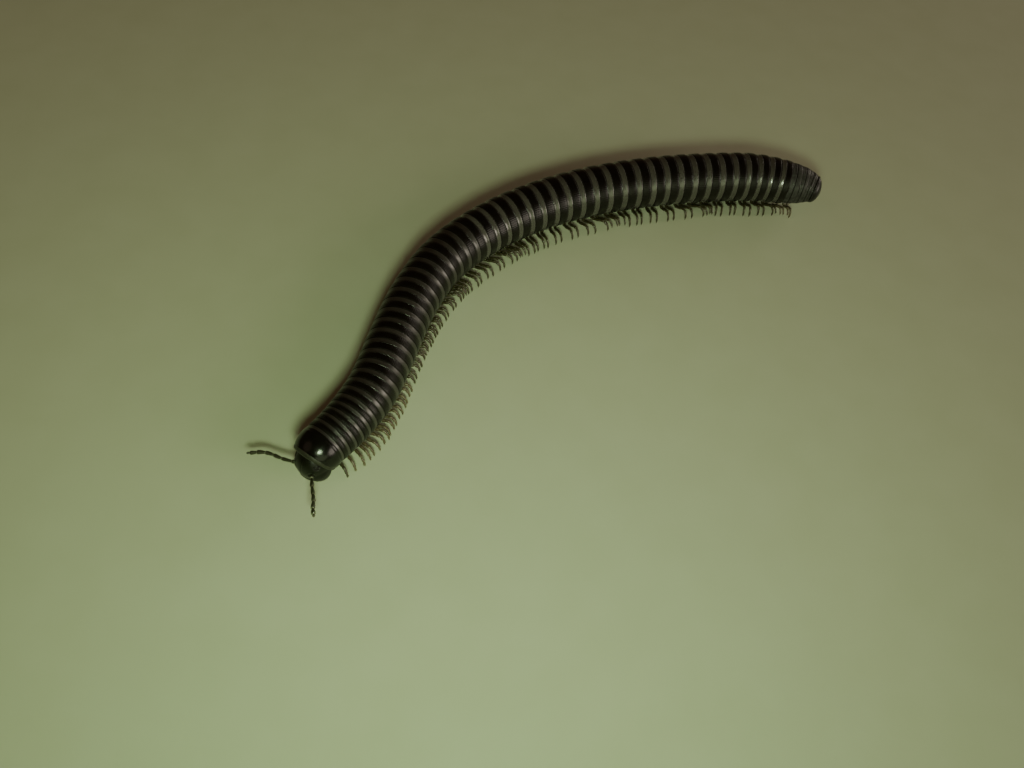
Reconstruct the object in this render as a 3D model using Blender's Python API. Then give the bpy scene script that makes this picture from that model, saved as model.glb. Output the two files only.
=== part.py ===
# Lobed pachyiulus millipede, life size, walking on a level floor.
# Metres, +Z up. The origin is on the floor under the middle of the box that holds the animal.
# The body's axis runs level, with the head towards -X -Y and the tail towards +X.
# A ring is a narrow, smooth front band and a wider, raised rear band. Rings are numbered from the
# first one behind the collum, the large shield over the neck.

import math
import random

import bmesh
import bpy
import numpy as np
from mathutils import Matrix, Vector

MM = 0.001

# Driving sizes, in millimetres
GAP = 0.3
AXIS_HEIGHT = 4.1
FRONT_BAND_RATIO = 0.955
SUTURE_LENGTH = 0.12
EDGE_LENGTH = 0.05

# The axis of the body seen from above, from the collum's rear edge to the tip of the tail
ROUTE = (
    (-25.97, -23.05), (-23.97, -19.60), (-22.17, -14.95), (-20.97, -7.80), (-19.72, -1.45),
    (-17.17, 5.20), (-12.67, 11.15), (-6.57, 16.40), (0.78, 20.75), (8.83, 24.00),
    (16.73, 26.25), (24.43, 27.62), (30.76, 27.15), (33.66, 26.38),
)

# Values that change along the body, by ring number
RINGS = 52
PITCH = {1: 1.0, 4: 0.95, 8: 1.42, 16: 1.62, 24: 1.92, 35: 2.2, 43: 2.0, 48: 1.62, 49: 1.42, 52: 0.55}
RADIUS = {1: 2.68, 4: 2.8, 8: 2.98, 14: 3.15, 24: 3.25, 38: 3.45, 45: 3.4, 48: 3.08, 50: 2.62, 52: 1.9}
FRONT_BAND_SHARE = {1: 0.27, 8: 0.3, 24: 0.4, 44: 0.45, 52: 0.45}
FIRST_RING_OF_LENGTH = (1, 6, 13, 19, 25, 32, 38, 45)
BODY_SIDES = 14
LEG_SIDES = 3
ANTENNA_SIDES = 6

# Legs: one pair on each of the first rings, then two pairs a ring, and none on the last ones
ONE_PAIR_RINGS = 3
LAST_RING_WITH_LEGS = 49
LEG_SEAT = 0.7
LEG_SEAT_SPREAD = {1: 0.22, 8: 0.2, 20: 0.18}
LEG_REACH = {1: 2.9, 3: 3.35, 5: 3.55, 8: 3.25, 14: 3.35, 18: 3.65, 23: 4.1, 34: 4.05, 39: 4.0, 42: 3.6,
             45: 3.6, 46: 3.3, 47: 2.8, 49: 2.6}
LEG_ROOT_OUT = 0.2
LEG_ROOT_DEPTH = 0.5
LEG_BEND_OUT = 0.42
LEG_KNEE_OUT = 0.8
LEG_KNEE_HEIGHT = 1.3
LEG_SHIN_OUT = 0.97
LEG_SHIN_HEIGHT = 0.8
LEG_ROOT_RADIUS = 0.28
LEG_TAPER = (1.0, 1.0, 0.85, 0.65, 0.45)
LEG_SHARE_OF_PITCH = 0.23
LEG_VARIATION = 0.025
SEED = 12

# Places of the legs along the body, by ring number and share of the ring, in ring pitches towards the
# tail: where a leg comes out beside the body, and from there how far back its foot stands. The feet
# stand in waves: a foot slips slowly back, is lifted and swings quickly forward again.
LEG_LEAN = {1.5: 0.22, 2.5: 0.45, 3.5: 0.5, 4.5: 0.0, 5.5: 0.0, 5.9: 0.45, 10: 0.45, 12: 0.65, 15.5: 0.7,
            19: 0.5, 21: 0.2, 22.5: -0.1, 25: 0.1, 28: -0.15, 31: -0.45, 33: -0.15, 38: -0.1, 41: 0.12,
            44: 0.0, 46: 0.2, 48: 0.0, 50: -0.2}
FOOT_BACK = {1: -0.7, 3.5: -0.7, 5.5: 0.0, 8: -0.1, 10.5: -0.25, 13.6: 0.3, 15.4: -0.37, 18.5: -0.2,
             20.9: 0.6, 22.4: -0.05, 24.5: 0.12, 26.9: 0.85, 28.6: 0.1, 31.5: -0.05, 33.5: 0.3, 34.7: 0.86,
             36.4: 0.1, 38.3: -0.15, 39.9: 0.2, 41.6: 0.8, 43.4: -0.16, 45.5: 0.0, 47.5: 0.95, 50: 0.55}
LEG_LEAN_SHARES = (0.0, 0.65, 1.0, 1.0, 1.0)
FOOT_BACK_SHARES = (0.0, 0.1, 0.65, 0.9, 1.0)
LEG_LIFT = 0.4
LIFTING_SLOPE = -0.15


def spline(points, steps):
    """Points on a smooth curve that passes through each given point."""
    line = np.asarray(points, float)
    ends = np.vstack((2 * line[0] - line[1], line, 2 * line[-1] - line[-2]))
    smooth = []
    for a, b, c, d in zip(ends[:-3], ends[1:-2], ends[2:-1], ends[3:]):
        for t in np.linspace(0, 1, steps, endpoint=False):
            bend = (2 * a - 5 * b + 4 * c - d) * t * t + (3 * b - a - 3 * c + d) * t ** 3
            smooth.append(b + 0.5 * ((c - a) * t + bend))
    smooth.append(line[-1])
    return np.array(smooth)


def lengths(line):
    return np.concatenate(((0,), np.cumsum(np.linalg.norm(np.diff(line, axis=0), axis=1))))


AXIS = spline(ROUTE, 40)
AXIS_LENGTHS = lengths(AXIS)
AXIS_DIRECTIONS = np.gradient(AXIS, axis=0)
AXIS_DIRECTIONS /= np.linalg.norm(AXIS_DIRECTIONS, axis=1)[:, None]


def along(table, ring):
    return float(np.interp(ring, list(table), list(table.values())))


def axis_frame(distance):
    """Frame on the axis: X towards the tail, Y to the animal's right, Z up. Millimetres."""
    x, y = (np.interp(distance, AXIS_LENGTHS, AXIS[:, i]) for i in range(2))
    past = max(0, distance - AXIS_LENGTHS[-1]) + min(0, distance)
    dx, dy = (np.interp(distance, AXIS_LENGTHS, AXIS_DIRECTIONS[:, i]) for i in range(2))
    turn = Matrix.Rotation(math.atan2(dy, dx), 4, "Z")
    return Matrix.Translation((x + past * dx, y + past * dy, AXIS_HEIGHT)) @ turn


def ring_starts():
    """Distance along the axis of the front edge of every ring, and of the end of the last."""
    centre = 0.0
    starts = []
    for ring in range(1, RINGS + 2):
        pitch = along(PITCH, ring)
        starts.append(centre - pitch * along(FRONT_BAND_SHARE, ring) / 2)
        centre += pitch
    return starts


RING_STARTS = ring_starts()


def clear_scene():
    for item in list(bpy.data.objects):
        bpy.data.objects.remove(item, do_unlink=True)


def new_collection(name):
    collection = bpy.data.collections.new(name)
    bpy.context.scene.collection.children.link(collection)
    return collection


def new_material(name, color, roughness):
    material = bpy.data.materials.new(name)
    material.use_nodes = True
    shader = material.node_tree.nodes["Principled BSDF"]
    shader.inputs["Base Color"].default_value = (*color, 1)
    shader.inputs["Roughness"].default_value = roughness
    shader.inputs["Metallic"].default_value = 0
    return material


def add_object(name, mesh, collection):
    item = bpy.data.objects.new(name, mesh)
    collection.objects.link(item)
    return item


def evaluated_mesh(item):
    """A new mesh of the object as its modifiers leave it, with coincident points joined."""
    bpy.context.view_layer.update()
    graph = bpy.context.evaluated_depsgraph_get()
    mesh = bpy.data.meshes.new_from_object(item.evaluated_get(graph))
    work = bmesh.new()
    work.from_mesh(mesh)
    bmesh.ops.remove_doubles(work, verts=work.verts, dist=0.001 * MM)
    bmesh.ops.recalc_face_normals(work, faces=work.faces)
    work.to_mesh(mesh)
    work.free()
    return mesh


def polygon(sides, collection):
    """The outline of a tube: a regular polygon with a corner at the top."""
    outline = bpy.data.curves.new("outline", "CURVE")
    line = outline.splines.new("POLY")
    line.points.add(sides - 1)
    line.use_cyclic_u = True
    for i, place in enumerate(line.points):
        angle = math.radians(90) - 2 * math.pi * i / sides
        place.co = (MM * math.cos(angle), MM * math.sin(angle), 0, 1)
    return add_object("outline", outline, collection)


def tube(name, points, radii, sides, collection):
    """A closed tube through points, with a radius at each, all in millimetres."""
    outline = polygon(sides, collection)
    curve = bpy.data.curves.new(name, "CURVE")
    curve.dimensions = "3D"
    curve.twist_mode = "Z_UP"
    curve.bevel_mode = "OBJECT"
    curve.bevel_object = outline
    curve.use_fill_caps = True
    line = curve.splines.new("POLY")
    line.points.add(len(points) - 1)
    for place, position, radius in zip(line.points, points, radii):
        place.co = (*(Vector(position) * MM), 1)
        place.radius = radius
    item = add_object(name, curve, collection)
    solid = add_object(name, evaluated_mesh(item), collection)
    for piece in (item, outline):
        used = piece.data
        bpy.data.objects.remove(piece, do_unlink=True)
        bpy.data.curves.remove(used)
    solid.name = name
    return solid


def corner_radius(radius, sides):
    """Radius to the corners of a polygon with the area of a circle."""
    turn = 2 * math.pi / sides
    return radius * math.sqrt(turn / math.sin(turn))


def ellipsoid(name, frame, centre, half_sizes, collection, segments=16, narrow=0.0):
    """An egg with its poles up and down. It narrows by the given share towards the lower pole."""
    work = bmesh.new()
    bmesh.ops.create_uvsphere(work, u_segments=segments, v_segments=segments * 5 // 8, radius=1)
    for point in work.verts:
        width = 1 - narrow * max(0, -point.co.z) ** 1.5
        x, y, z = point.co
        local = Vector(centre) + Vector((x * half_sizes[0], y * half_sizes[1] * width, z * half_sizes[2]))
        point.co = (frame @ local) * MM
    mesh = bpy.data.meshes.new(name)
    work.to_mesh(mesh)
    work.free()
    return add_object(name, mesh, collection)


def block(name, frame, low, high, collection):
    """A box between two corners of a frame."""
    work = bmesh.new()
    bmesh.ops.create_cube(work, size=1)
    low, high = Vector(low), Vector(high)
    for point in work.verts:
        share = point.co + Vector((0.5, 0.5, 0.5))
        local = Vector(low[i] + (high[i] - low[i]) * share[i] for i in range(3))
        point.co = (frame @ local) * MM
    mesh = bpy.data.meshes.new(name)
    work.to_mesh(mesh)
    work.free()
    item = add_object(name, mesh, collection)
    item.hide_render = True
    item.display_type = "WIRE"
    return item


def keep_largest_surface(mesh):
    """Drops every closed surface of a mesh but the one with the most faces."""
    work = bmesh.new()
    work.from_mesh(mesh)
    waiting = set(work.faces)
    surfaces = []
    while waiting:
        surface = {waiting.pop()}
        edge_of_search = list(surface)
        while edge_of_search:
            face = edge_of_search.pop()
            found = {near for edge in face.edges for near in edge.link_faces} & waiting
            waiting -= found
            surface |= found
            edge_of_search.extend(found)
        surfaces.append(surface)
    surfaces.sort(key=len)
    scraps = [face for surface in surfaces[:-1] for face in surface]
    bmesh.ops.delete(work, geom=scraps, context="FACES")
    bmesh.ops.triangulate(work, faces=work.faces)
    work.to_mesh(mesh)
    work.free()


def combine(item, pieces, operation):
    """Joins the pieces to an object, or cuts them from it, and removes them."""
    group = bpy.data.collections.new("pieces")
    for piece in pieces:
        group.objects.link(piece)
    change = item.modifiers.new(operation, "BOOLEAN")
    change.operation = operation
    change.operand_type = "COLLECTION"
    change.collection = group
    change.solver = "EXACT"
    mesh = evaluated_mesh(item)
    keep_largest_surface(mesh)
    item.modifiers.clear()
    item.data = mesh
    for piece in pieces:
        bpy.data.objects.remove(piece, do_unlink=True)
    bpy.data.collections.remove(group)


def finish(item, material):
    item.data.materials.clear()
    item.data.materials.append(material)
    item.data.shade_smooth()
    item.data.set_sharp_from_angle(angle=math.radians(35))


def ring_stations(ring, start, end):
    """Stations of one ring along the axis: front band, suture, raised rear band."""
    radius = along(RADIUS, ring)
    suture = start + (end - start) * along(FRONT_BAND_SHARE, ring)
    return (
        (start + EDGE_LENGTH, radius * FRONT_BAND_RATIO),
        (suture, radius * FRONT_BAND_RATIO),
        (suture + SUTURE_LENGTH, radius * 0.99),
        (end, radius),
    )


def foot_lift(place):
    """How high a foot is lifted: where feet stand less far back from leg to leg, it swings forward."""
    slope = (along(FOOT_BACK, place + 0.2) - along(FOOT_BACK, place - 0.2)) / 0.4
    return LEG_LIFT if slope < LIFTING_SLOPE else 0.0


def belly_height(radius, out):
    """Height over the floor of the underside of a ring, at a distance out from the middle."""
    return AXIS_HEIGHT - math.sqrt(radius ** 2 - out ** 2)


def leg(ring, seat, side, collection, draw):
    """One leg: out from beside the belly's middle line to a knee, then down to the floor."""
    radius = along(RADIUS, ring)
    reach = along(LEG_REACH, ring) * draw.uniform(1 - LEG_VARIATION, 1 + LEG_VARIATION)
    lift = foot_lift(ring + seat)
    lean = along(LEG_LEAN, ring + seat)
    back = along(FOOT_BACK, ring + seat) + draw.uniform(-LEG_VARIATION, LEG_VARIATION)
    thick = min(LEG_ROOT_RADIUS, LEG_SHARE_OF_PITCH * along(PITCH, ring))
    root = LEG_ROOT_OUT * radius
    bend = LEG_BEND_OUT * reach
    stations = (
        (root, belly_height(radius, root) + LEG_ROOT_DEPTH),
        (bend, belly_height(radius, bend) - GAP - thick),
        (LEG_KNEE_OUT * reach, LEG_KNEE_HEIGHT),
        (LEG_SHIN_OUT * reach, LEG_SHIN_HEIGHT),
        (reach, lift),
    )
    start = RING_STARTS[ring - 1] + seat * (RING_STARTS[ring] - RING_STARTS[ring - 1])
    points = []
    for i, (out, height) in enumerate(stations):
        shift = along(PITCH, ring) * (lean * LEG_LEAN_SHARES[i] + back * FOOT_BACK_SHARES[i])
        points.append(axis_frame(start + shift) @ Vector((0, side * out, height - AXIS_HEIGHT)))
    piece = tube("leg", points, [thick * share for share in LEG_TAPER], LEG_SIDES, collection)
    lay_foot_flat(piece, lift)
    return piece


def lay_foot_flat(piece, height):
    """Brings the end of a leg, and nothing above it, to one level."""
    reach = (height + LEG_ROOT_RADIUS * LEG_TAPER[-1]) * MM
    for point in piece.data.vertices:
        if point.co.z < reach:
            point.co.z = height * MM


def leg_seats(ring):
    spread = along(LEG_SEAT_SPREAD, ring)
    if ring > LAST_RING_WITH_LEGS:
        return ()
    if ring <= ONE_PAIR_RINGS:
        return (LEG_SEAT - spread,)
    return (LEG_SEAT - spread, LEG_SEAT + spread)


def trunk_length(number, first, last, collection, material, draw):
    """A length of the trunk from the first to the last of its rings, with its legs."""
    stations = []
    for ring in range(first, last + 1):
        stations += ring_stations(ring, RING_STARTS[ring - 1], RING_STARTS[ring])
    stations[0] = (stations[0][0] - EDGE_LENGTH + GAP, stations[0][1])
    stations = [station for station in stations if station[0] >= stations[0][0]]
    points = [axis_frame(distance).translation for distance, radius in stations]
    name = f"trunk_{number}"
    radii = [corner_radius(radius, BODY_SIDES) for distance, radius in stations]
    item = tube(name, points, radii, BODY_SIDES, collection)
    legs = []
    for ring in range(first, last + 1):
        for seat in leg_seats(ring):
            for side in (-1, 1):
                legs.append(leg(ring, seat, side, collection, draw))
    if legs:
        combine(item, legs, "UNION")
    finish(item, material)


def build_trunk(collection, material):
    draw = random.Random(SEED)
    ends = [ring - 1 for ring in FIRST_RING_OF_LENGTH[1:]] + [RINGS]
    for number, (first, last) in enumerate(zip(FIRST_RING_OF_LENGTH, ends), start=1):
        trunk_length(number, first, last, collection, material, draw)


# Head and collum, in a frame on the collum's rear edge: X forward, Y to the animal's left, Z up
HEAD_FRAME = axis_frame(0) @ Matrix.Rotation(math.pi, 4, "Z")
CAPSULE_CENTRE = (1.95, 0, -0.9)
CAPSULE_HALF_SIZES = (1.75, 1.97, 2.2)
CAPSULE_NARROWING = 0.12
COLLUM_CENTRE = (0.45, 0, 0)
COLLUM_HALF_SIZES = (3.1, 2.68, 2.65)
COLLUM_FRONT = (2.78, 0, 1.5)
COLLUM_SLOPE = math.radians(28)
COLLUM_SIDE_DEPTH = -2.1

# Rounded forms of the head beside the capsule: centre, half sizes
JAW_BASE = ((1.98, 1.27, -1.75), (1.12, 0.84, 1.05))
BROW_PLATE = ((2.5, 0, -1.95), (1.08, 1.4, 1.05))
LOWER_LIP = ((1.65, 0, -2.7), (1.0, 0.9, 0.42))
MOUTH_PLACE = (2.7, 0, -2.85)
MOUTH_SLOPE = math.radians(50)
MOUTH_SIZE = ((-0.5, -0.95, -0.06), (0.8, 0.95, 0.06))
LIP_NOTCH = ((2.95, 0, -2.95), (0.4, 0.26, 0.3))

EYE_PLACE = (2.72, 1.36, 0.1)
EYE_TURN = math.radians(-42)
EYE_LEAN = math.radians(20)
EYE_HALF_SIZES = (0.5, 0.2, 0.4)
SEAT_GAP = 0.14

# Antennae: routes chosen by hand, and the share of the length that each of the seven articles takes
ANTENNA_ROUTES = {
    "antenna_right": ((3.2, -1.2, -0.6), (3.7, -2.7, -0.7), (3.95, -3.95, -0.8), (4.35, -5.0, -0.9),
                      (5.35, -6.4, -1.2)),
    "antenna_left": ((3.3, 1.15, -0.65), (4.35, 2.3, -0.45), (5.27, 3.4, -0.2), (6.2, 4.25, 0.0),
                     (6.83, 5.03, 0.2)),
}
ARTICLE_SHARES = (0.07, 0.21, 0.18, 0.17, 0.17, 0.13, 0.07)
ARTICLE_RADIUS = 0.28
JOINT_RADIUS = 0.2


def mirrored(centre, side):
    return (centre[0], side * centre[1], centre[2])


def head_forms(collection, grow):
    """The capsule with its jaw bases and lips, each larger all round by grow."""
    forms = [ellipsoid("capsule", HEAD_FRAME, CAPSULE_CENTRE, [size + grow for size in CAPSULE_HALF_SIZES],
                       collection, segments=20, narrow=CAPSULE_NARROWING)]
    lobes = [(mirrored(JAW_BASE[0], side), JAW_BASE[1]) for side in (-1, 1)] + [BROW_PLATE, LOWER_LIP]
    for centre, half_sizes in lobes:
        sizes = [size + grow for size in half_sizes]
        forms.append(ellipsoid("lobe", HEAD_FRAME, centre, sizes, collection, segments=12))
    return forms


def eye_frame(side):
    """Frame on an eye patch, with Y pointing out of the head."""
    place = Matrix.Translation(mirrored(EYE_PLACE, side))
    turn = Matrix.Rotation(side * EYE_TURN, 4, "Z") @ Matrix.Rotation(side * EYE_LEAN, 4, "X")
    return HEAD_FRAME @ place @ turn


def build_head(collection, cutters, material, eye_material):
    forms = head_forms(collection, 0)
    head = forms[0]
    head.name = "head"
    combine(head, forms[1:], "UNION")
    mouth = HEAD_FRAME @ Matrix.Translation(MOUTH_PLACE) @ Matrix.Rotation(MOUTH_SLOPE, 4, "Y")
    cuts = [
        block("mouth", mouth, *MOUTH_SIZE, cutters),
        ellipsoid("lip_notch", HEAD_FRAME, *LIP_NOTCH, cutters, segments=8),
    ]
    for side, name in ((1, "eye_left"), (-1, "eye_right")):
        grown = [size + SEAT_GAP for size in EYE_HALF_SIZES]
        cuts.append(ellipsoid("socket", eye_frame(side), (0, 0, 0), grown, cutters, segments=10))
        eye = ellipsoid(name, eye_frame(side), (0, 0, 0), EYE_HALF_SIZES, collection, segments=10)
        finish(eye, eye_material)
    for route in ANTENNA_ROUTES.values():
        grown = [JOINT_RADIUS + SEAT_GAP] * 3
        cuts.append(ellipsoid("antenna_seat", HEAD_FRAME, route[0], grown, cutters, segments=8))
    combine(head, cuts, "DIFFERENCE")
    finish(head, material)


def build_collum(collection, cutters, material):
    collum = ellipsoid("collum", HEAD_FRAME, COLLUM_CENTRE, COLLUM_HALF_SIZES, collection, segments=20)
    slope = Matrix.Translation(COLLUM_FRONT) @ Matrix.Rotation(COLLUM_SLOPE, 4, "Y")
    cuts = head_forms(cutters, GAP)
    cuts.append(block("rear", HEAD_FRAME, (-4, -4, -4), (GAP / 2, 4, 4), cutters))
    cuts.append(block("front", HEAD_FRAME @ slope, (0, -4, -8), (4, 4, 3), cutters))
    cuts.append(block("underside", HEAD_FRAME, (-4, -4, -4), (4, 4, COLLUM_SIDE_DEPTH), cutters))
    combine(collum, cuts, "DIFFERENCE")
    finish(collum, material)


def build_antennae(collection, material):
    for name, route in ANTENNA_ROUTES.items():
        line = spline(route, 20)
        distances = lengths(line)
        total = distances[-1]
        stations = [(0.0, JOINT_RADIUS)]
        start = 0.0
        for share in ARTICLE_SHARES:
            stations.append((start + share * 0.7, ARTICLE_RADIUS))
            start += share
            stations.append((start, JOINT_RADIUS))
        points = []
        for share, radius in stations:
            local = [np.interp(share * total, distances, line[:, i]) for i in range(3)]
            points.append(HEAD_FRAME @ Vector(local))
        item = tube(name, points, [radius for share, radius in stations], ANTENNA_SIDES, collection)
        finish(item, material)


# Telson: a short dome that carries two bulging valves with a seam between them
TELSON_START = RING_STARTS[-1] + GAP
TELSON_DOME = ((-0.55, 0, -0.1), (1.05, 1.84, 1.84))
TELSON_TILT = math.radians(8)
VALVE = ((-0.2, 0.48, -0.35), (0.68, 0.7, 1.3))


def build_telson(collection, cutters, material):
    frame = axis_frame(TELSON_START) @ Matrix.Rotation(TELSON_TILT, 4, "Y")
    telson = ellipsoid("telson", axis_frame(TELSON_START), *TELSON_DOME, collection)
    valves = [ellipsoid("valve", frame, mirrored(VALVE[0], side), VALVE[1], collection) for side in (-1, 1)]
    combine(telson, valves, "UNION")
    face = block("front", axis_frame(TELSON_START), (-4, -4, -4), (0, 4, 4), cutters)
    combine(telson, [face], "DIFFERENCE")
    finish(telson, material)


def main():
    clear_scene()
    animal = new_collection("lobed_pachyiulus_millipede")
    cutters = new_collection("cutters")
    dark = new_material("dark_ring_plate", (0.02, 0.017, 0.013), 0.25)
    head_plate = new_material("head_plate", (0.03, 0.028, 0.014), 0.25)
    eye = new_material("eye", (0.005, 0.005, 0.005), 0.12)
    feeler = new_material("antenna", (0.05, 0.035, 0.018), 0.35)
    build_head(animal, cutters, head_plate, eye)
    build_antennae(animal, feeler)
    build_collum(animal, cutters, dark)
    build_trunk(animal, dark)
    build_telson(animal, cutters, dark)


main()
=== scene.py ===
# %% [markdown]
# # A walking millipede, dressed ring by ring
#
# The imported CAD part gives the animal's frame: where each length of its trunk lies, how thick it is and
# where its feet stand. This lesson puts the real surface over it. We load the frame, repeat the few
# sizes that shape the body, and then build the animal from front to back in mesh code.

import math
import random

import bmesh
import bpy
import numpy as np
from mathutils import Matrix, Vector


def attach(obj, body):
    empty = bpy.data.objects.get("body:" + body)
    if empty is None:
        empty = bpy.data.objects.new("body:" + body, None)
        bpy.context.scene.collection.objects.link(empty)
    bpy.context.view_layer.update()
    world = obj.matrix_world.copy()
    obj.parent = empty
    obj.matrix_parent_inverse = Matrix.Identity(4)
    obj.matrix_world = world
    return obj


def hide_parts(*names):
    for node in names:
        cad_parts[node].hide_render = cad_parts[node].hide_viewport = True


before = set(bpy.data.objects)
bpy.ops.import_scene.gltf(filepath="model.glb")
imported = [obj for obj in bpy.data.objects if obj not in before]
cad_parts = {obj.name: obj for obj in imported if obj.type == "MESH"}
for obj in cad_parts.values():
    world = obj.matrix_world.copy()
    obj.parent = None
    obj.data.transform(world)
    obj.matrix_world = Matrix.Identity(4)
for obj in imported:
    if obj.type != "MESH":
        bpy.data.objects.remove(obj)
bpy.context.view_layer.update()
print("CAD nodes:", sorted(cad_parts))

# %% [markdown]
# ## Sizes of the body
#
# A millipede is a row of rings on one long curve. Its looks depend on a few tables: how far apart the
# rings stand, how thick each one is, and how much of it is the smooth band in front. The tables are
# read by ring number and are the same as in the solids, so that the skin lies where the solids lie.
# Everything here is in millimetres, and a point is turned into metres only when a mesh is made.

# %% Sizes of the body
MM = 0.001
AXIS_HEIGHT = 4.1
ROUTE = (
    (-25.97, -23.05), (-23.97, -19.60), (-22.17, -14.95), (-20.97, -7.80), (-19.72, -1.45),
    (-17.17, 5.20), (-12.67, 11.15), (-6.57, 16.40), (0.78, 20.75), (8.83, 24.00),
    (16.73, 26.25), (24.43, 27.62), (30.76, 27.15), (33.66, 26.38),
)
RINGS = 52
PITCH = {1: 1.0, 4: 0.95, 8: 1.42, 16: 1.62, 24: 1.92, 35: 2.2, 43: 2.0, 48: 1.62, 49: 1.42, 52: 0.55}
RADIUS = {1: 2.68, 4: 2.8, 8: 2.98, 14: 3.15, 24: 3.25, 38: 3.45, 45: 3.4, 48: 3.08, 50: 2.62, 52: 1.9}
FRONT_BAND_SHARE = {1: 0.27, 8: 0.3, 24: 0.4, 44: 0.45, 52: 0.45}
FIRST_RING_OF_LENGTH = (1, 6, 13, 19, 25, 32, 38, 45)


def spline(points, steps):
    """Points on a smooth curve that passes through each given point."""
    line = np.asarray(points, float)
    ends = np.vstack((2 * line[0] - line[1], line, 2 * line[-1] - line[-2]))
    smooth = []
    for a, b, c, d in zip(ends[:-3], ends[1:-2], ends[2:-1], ends[3:]):
        for t in np.linspace(0, 1, steps, endpoint=False):
            bend = (2 * a - 5 * b + 4 * c - d) * t * t + (3 * b - a - 3 * c + d) * t ** 3
            smooth.append(b + 0.5 * ((c - a) * t + bend))
    smooth.append(line[-1])
    return np.array(smooth)


def lengths(line):
    """Distance along a line of points, from its start to each of them."""
    return np.concatenate(((0,), np.cumsum(np.linalg.norm(np.diff(line, axis=0), axis=1))))


def along(table, place):
    """A size read from a table at any place between its rows."""
    return float(np.interp(place, list(table), list(table.values())))


AXIS = spline(ROUTE, 40)
AXIS_LENGTHS = lengths(AXIS)
AXIS_DIRECTIONS = np.gradient(AXIS, axis=0)
AXIS_DIRECTIONS /= np.linalg.norm(AXIS_DIRECTIONS, axis=1)[:, None]


def axis_frame(distance):
    """Frame on the axis: X towards the tail, Y to the animal's right, Z up."""
    x, y = (np.interp(distance, AXIS_LENGTHS, AXIS[:, i]) for i in range(2))
    past = max(0, distance - AXIS_LENGTHS[-1]) + min(0, distance)
    dx, dy = (np.interp(distance, AXIS_LENGTHS, AXIS_DIRECTIONS[:, i]) for i in range(2))
    turn = Matrix.Rotation(math.atan2(dy, dx), 4, "Z")
    return Matrix.Translation((x + past * dx, y + past * dy, AXIS_HEIGHT)) @ turn


def ring_starts():
    """Distance along the axis of the front edge of every ring, and of the end of the last."""
    centre = 0.0
    starts = []
    for ring in range(1, RINGS + 2):
        pitch = along(PITCH, ring)
        starts.append(centre - pitch * along(FRONT_BAND_SHARE, ring) / 2)
        centre += pitch
    return starts


RING_STARTS = ring_starts()
print(f"axis {AXIS_LENGTHS[-1]:.1f} mm long, last ring ends at {RING_STARTS[-1]:.1f} mm")

# %% [markdown]
# ## Making a piece
#
# Nearly every surface here is a strip of cross-sections, so a piece is made from plain lists: points in
# millimetres, faces, and which finish each face wears. A second helper joins neighbouring rows of
# points into four-sided faces and closes both ends, which is what a turned or a hose-like form needs.

# %% Making a piece
def make_piece(name, points, faces, finishes, face_finishes=None, uv=None):
    """An object from points in millimetres. Each face wears one of the finishes."""
    mesh = bpy.data.meshes.new(name)
    mesh.from_pydata([tuple(point) for point in np.asarray(points) * MM], [], faces)
    for finish in finishes:
        mesh.materials.append(finish)
    if face_finishes is not None:
        mesh.polygons.foreach_set("material_index", np.asarray(face_finishes, np.int32))
    if uv is not None:
        layer = mesh.uv_layers.new(name="skin")
        corners = np.zeros(len(mesh.loops), np.int32)
        mesh.loops.foreach_get("vertex_index", corners)
        layer.data.foreach_set("uv", np.asarray(uv, np.float32)[corners].ravel())
    mesh.shade_smooth()
    item = bpy.data.objects.new(name, mesh)
    bpy.context.scene.collection.objects.link(item)
    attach(item, "root")
    return item


def strip(rows, around):
    """Faces between rows of points, with a flat cap on both ends."""
    faces = []
    for row in range(rows - 1):
        low = row * around
        for i in range(around):
            j = (i + 1) % around
            faces.append((low + i, low + j, low + around + j, low + around + i))
    faces.append(tuple(range(around))[::-1])
    faces.append(tuple(range((rows - 1) * around, rows * around)))
    return faces


print("faces of a box from two rows of four points:", len(strip(2, 4)))

# %% [markdown]
# ## Finishes
#
# A millipede's armour is chitin hardened with lime and proteins, the same stuff from end to end. What
# changes is how dark it is tanned and how its surface was formed, and a few finishes also carry painted
# shade or a painted sheen. Chitin bends light about as much as a clear varnish (IOR 1.56), so all finishes
# are dark bodies under a clear gloss, and none is a metal.
# Colours are picked as the hex numbers that a paint program shows and turned to linear by one function.
# Patterns use coordinates that lie still on the animal: object coordinates in metres, scaled so that one
# unit of a pattern is a real size in millimetres. The finest relief of real chitin is a few hundredths of
# a millimetre across, too fine to show here, so its grain is drawn five to ten times coarser. How much a
# place mirrors is set by its shine: 0.5 is clean chitin, wear takes it down, and polish takes it up.

# %% Colour, node and chitin helpers
CHITIN_IOR = 1.56
CLOUD_EDGES = (0.35, 0.68)  # where the clouds turn from the dark colour to the light one
GLOSS_RANGE = (0.8, 1.25)  # how much smoother and rougher the grain makes the surface in places


def linear(hex_colour):
    """An sRGB hex colour as linear red, green, blue and alpha."""
    shades = [int(hex_colour[i:i + 2], 16) / 255 for i in (1, 3, 5)]
    return (*(c / 12.92 if c <= 0.04045 else ((c + 0.055) / 1.055) ** 2.4 for c in shades), 1.0)


def add_node(tree, kind, settings=None, links=None):
    """Adds a node. Settings name its sockets, options or ramp stops, and links join outputs to sockets."""
    node = tree.nodes.new(kind)
    for key, value in (settings or {}).items():
        if key == "stops":
            for stop, (place, colour) in zip(node.color_ramp.elements, value):
                stop.position = place
                stop.color = colour
        elif isinstance(key, int) or key in node.inputs:
            node.inputs[key].default_value = value
        else:
            setattr(node, key, value)
    for key, output in (links or {}).items():
        tree.links.new(output, node.inputs[key])
    return node


def new_material(name, shine):
    """A material, its node tree and its shader."""
    material = bpy.data.materials.new(name)
    material.use_nodes = True
    shader = material.node_tree.nodes["Principled BSDF"]
    shader.inputs["Specular IOR Level"].default_value = shine
    return material, material.node_tree, shader


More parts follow.
